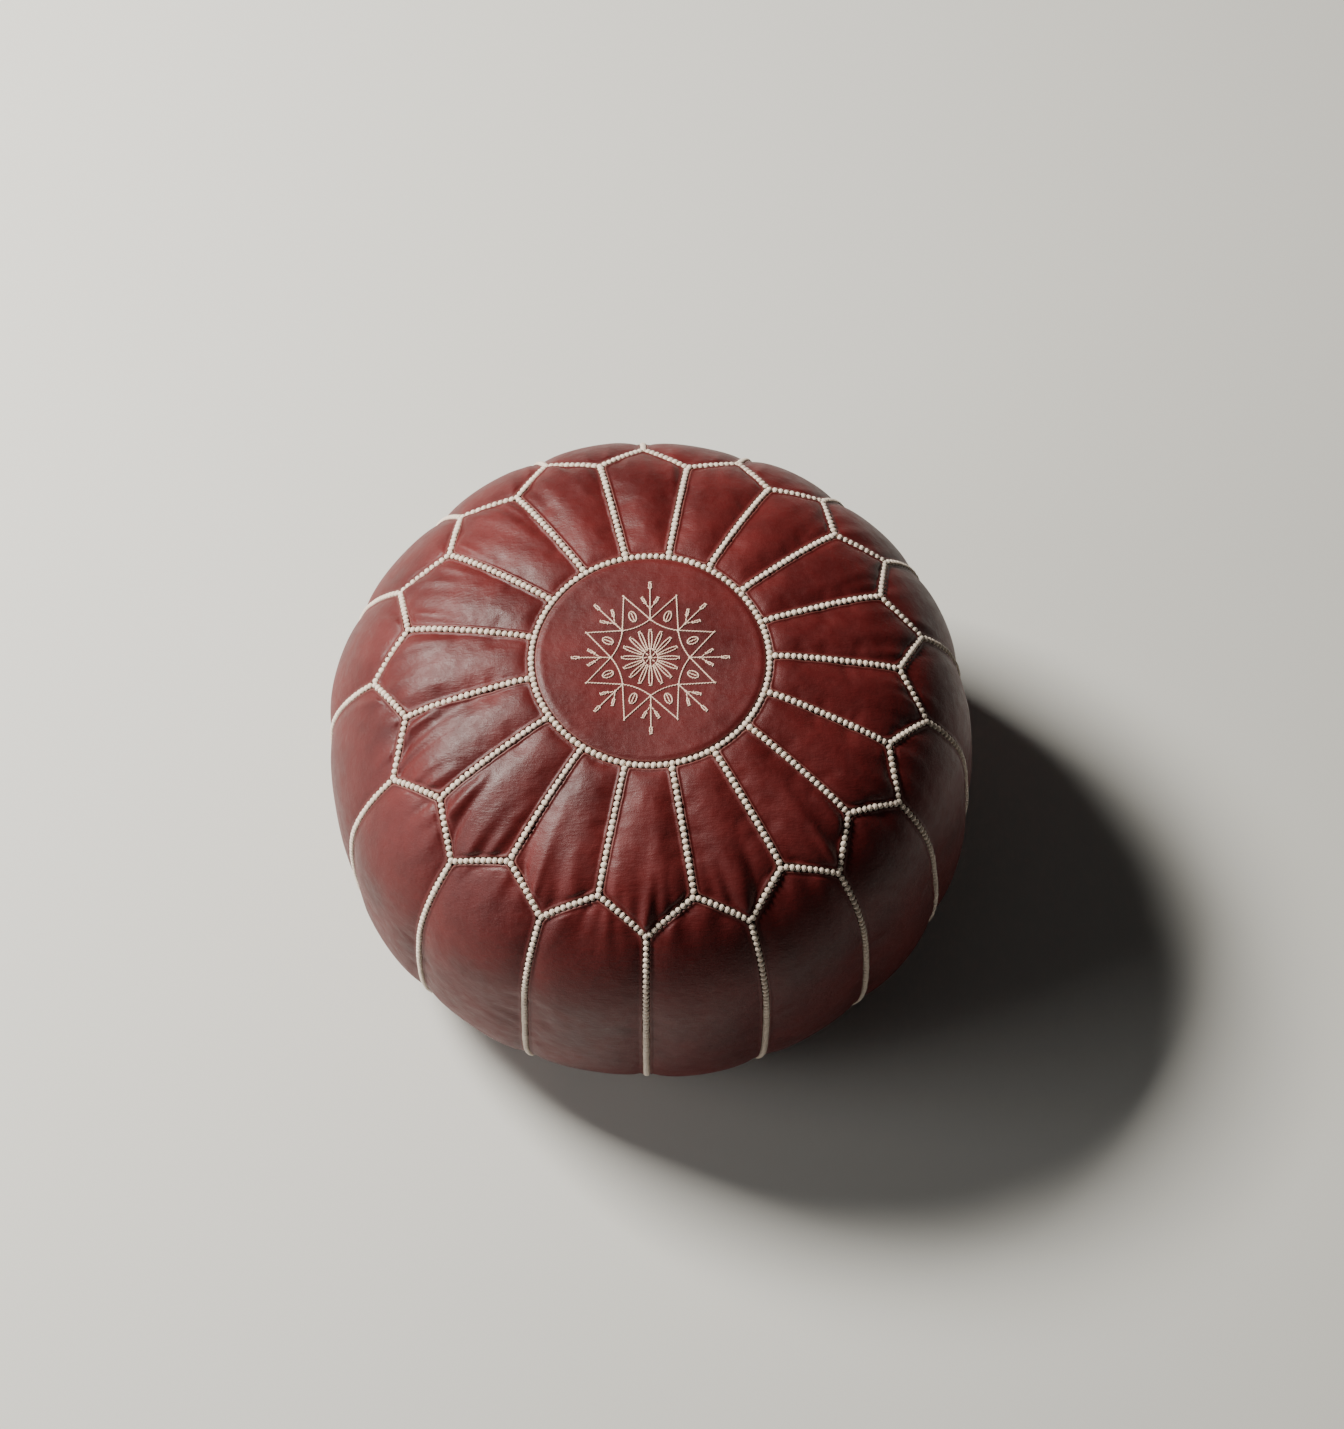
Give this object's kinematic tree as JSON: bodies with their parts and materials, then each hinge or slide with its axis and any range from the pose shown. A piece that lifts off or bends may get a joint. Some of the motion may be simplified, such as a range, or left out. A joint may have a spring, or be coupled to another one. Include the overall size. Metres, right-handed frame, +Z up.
{
  "type": "leather pouf",
  "caption": "Round stuffed leather pouf: wedge panels with thick contrast seam stitching, an embroidered round top medallion, and a zip in the base.",
  "frame": {"origin": "centre of the base, on the floor", "axes": "+Z up through the middle of the medallion, +X along the zip towards the slider's closed end, -Y towards the front"},
  "size_m": [0.5521, 0.5542, 0.3378],
  "materials": {
    "leather": "deep oxblood red, aniline dyed, satin, fine grain",
    "seam_thread": "cream rayon cord, overcast in tight raised stitches",
    "embroidery_thread": "cream thread, fine raised embroidery",
    "zip_tape": "woven tape, dark red",
    "zip_teeth": "moulded, dark red",
    "zip_metal": "antique brass, brushed",
    "bag_cloth": "unbleached plain-weave cotton",
    "filling": "loose cotton and foam filling"
  },
  "bodies": {
    "pouf": {"top_medallion": "leather", "top_petal_01": "leather", "top_petal_02": "leather", "top_petal_03": "leather", "top_petal_04": "leather", "top_petal_05": "leather", "top_petal_06": "leather", "top_petal_07": "leather", "top_petal_08": "leather", "top_petal_09": "leather", "top_petal_10": "leather", "top_petal_11": "leather", "top_petal_12": "leather", "top_petal_13": "leather", "top_petal_14": "leather", "top_petal_15": "leather", "top_petal_16": "leather", "top_petal_17": "leather", "side_panel_01": "leather", "side_panel_02": "leather", "side_panel_03": "leather", "side_panel_04": "leather", "side_panel_05": "leather", "side_panel_06": "leather", "side_panel_07": "leather", "side_panel_08": "leather", "side_panel_09": "leather", "side_panel_10": "leather", "side_panel_11": "leather", "side_panel_12": "leather", "side_panel_13": "leather", "side_panel_14": "leather", "side_panel_15": "leather", "side_panel_16": "leather", "side_panel_17": "leather", "base_panel_back": "leather", "base_panel_front": "leather", "medallion_ring_stitching": "seam_thread", "petal_seam_stitching": "seam_thread", "zigzag_stitching": "seam_thread", "side_seam_stitching": "seam_thread", "base_ring_stitching": "seam_thread", "base_seam_stitching": "seam_thread", "medallion_embroidery": "embroidery_thread", "zip_tape_back": "zip_tape", "zip_tape_front": "zip_tape", "zip_teeth_back": "zip_teeth", "zip_teeth_front": "zip_teeth", "zip_top_stops": "zip_metal", "zip_end_stop": "zip_metal", "inner_bag": "bag_cloth", "filling": "filling"},
    "zip_slider": {"zip_slider": "zip_metal"},
    "zip_pull_tab": {"zip_pull_tab": "zip_metal"}
  },
  "joints": [
    {"name": "zip_slide", "type": "slide", "parent": "pouf", "child": "zip_slider", "axis": [-1, 0, 0], "range_m": [0, 0.24], "deforming": ["zip_teeth_back", "zip_teeth_front"]},
    {"name": "pull_tab_swing", "type": "hinge", "parent": "zip_slider", "child": "zip_pull_tab", "pos_m": [0.127, 0, 0.0034], "axis": [0, -1, 0], "range_deg": [0, 150]}
  ]
}
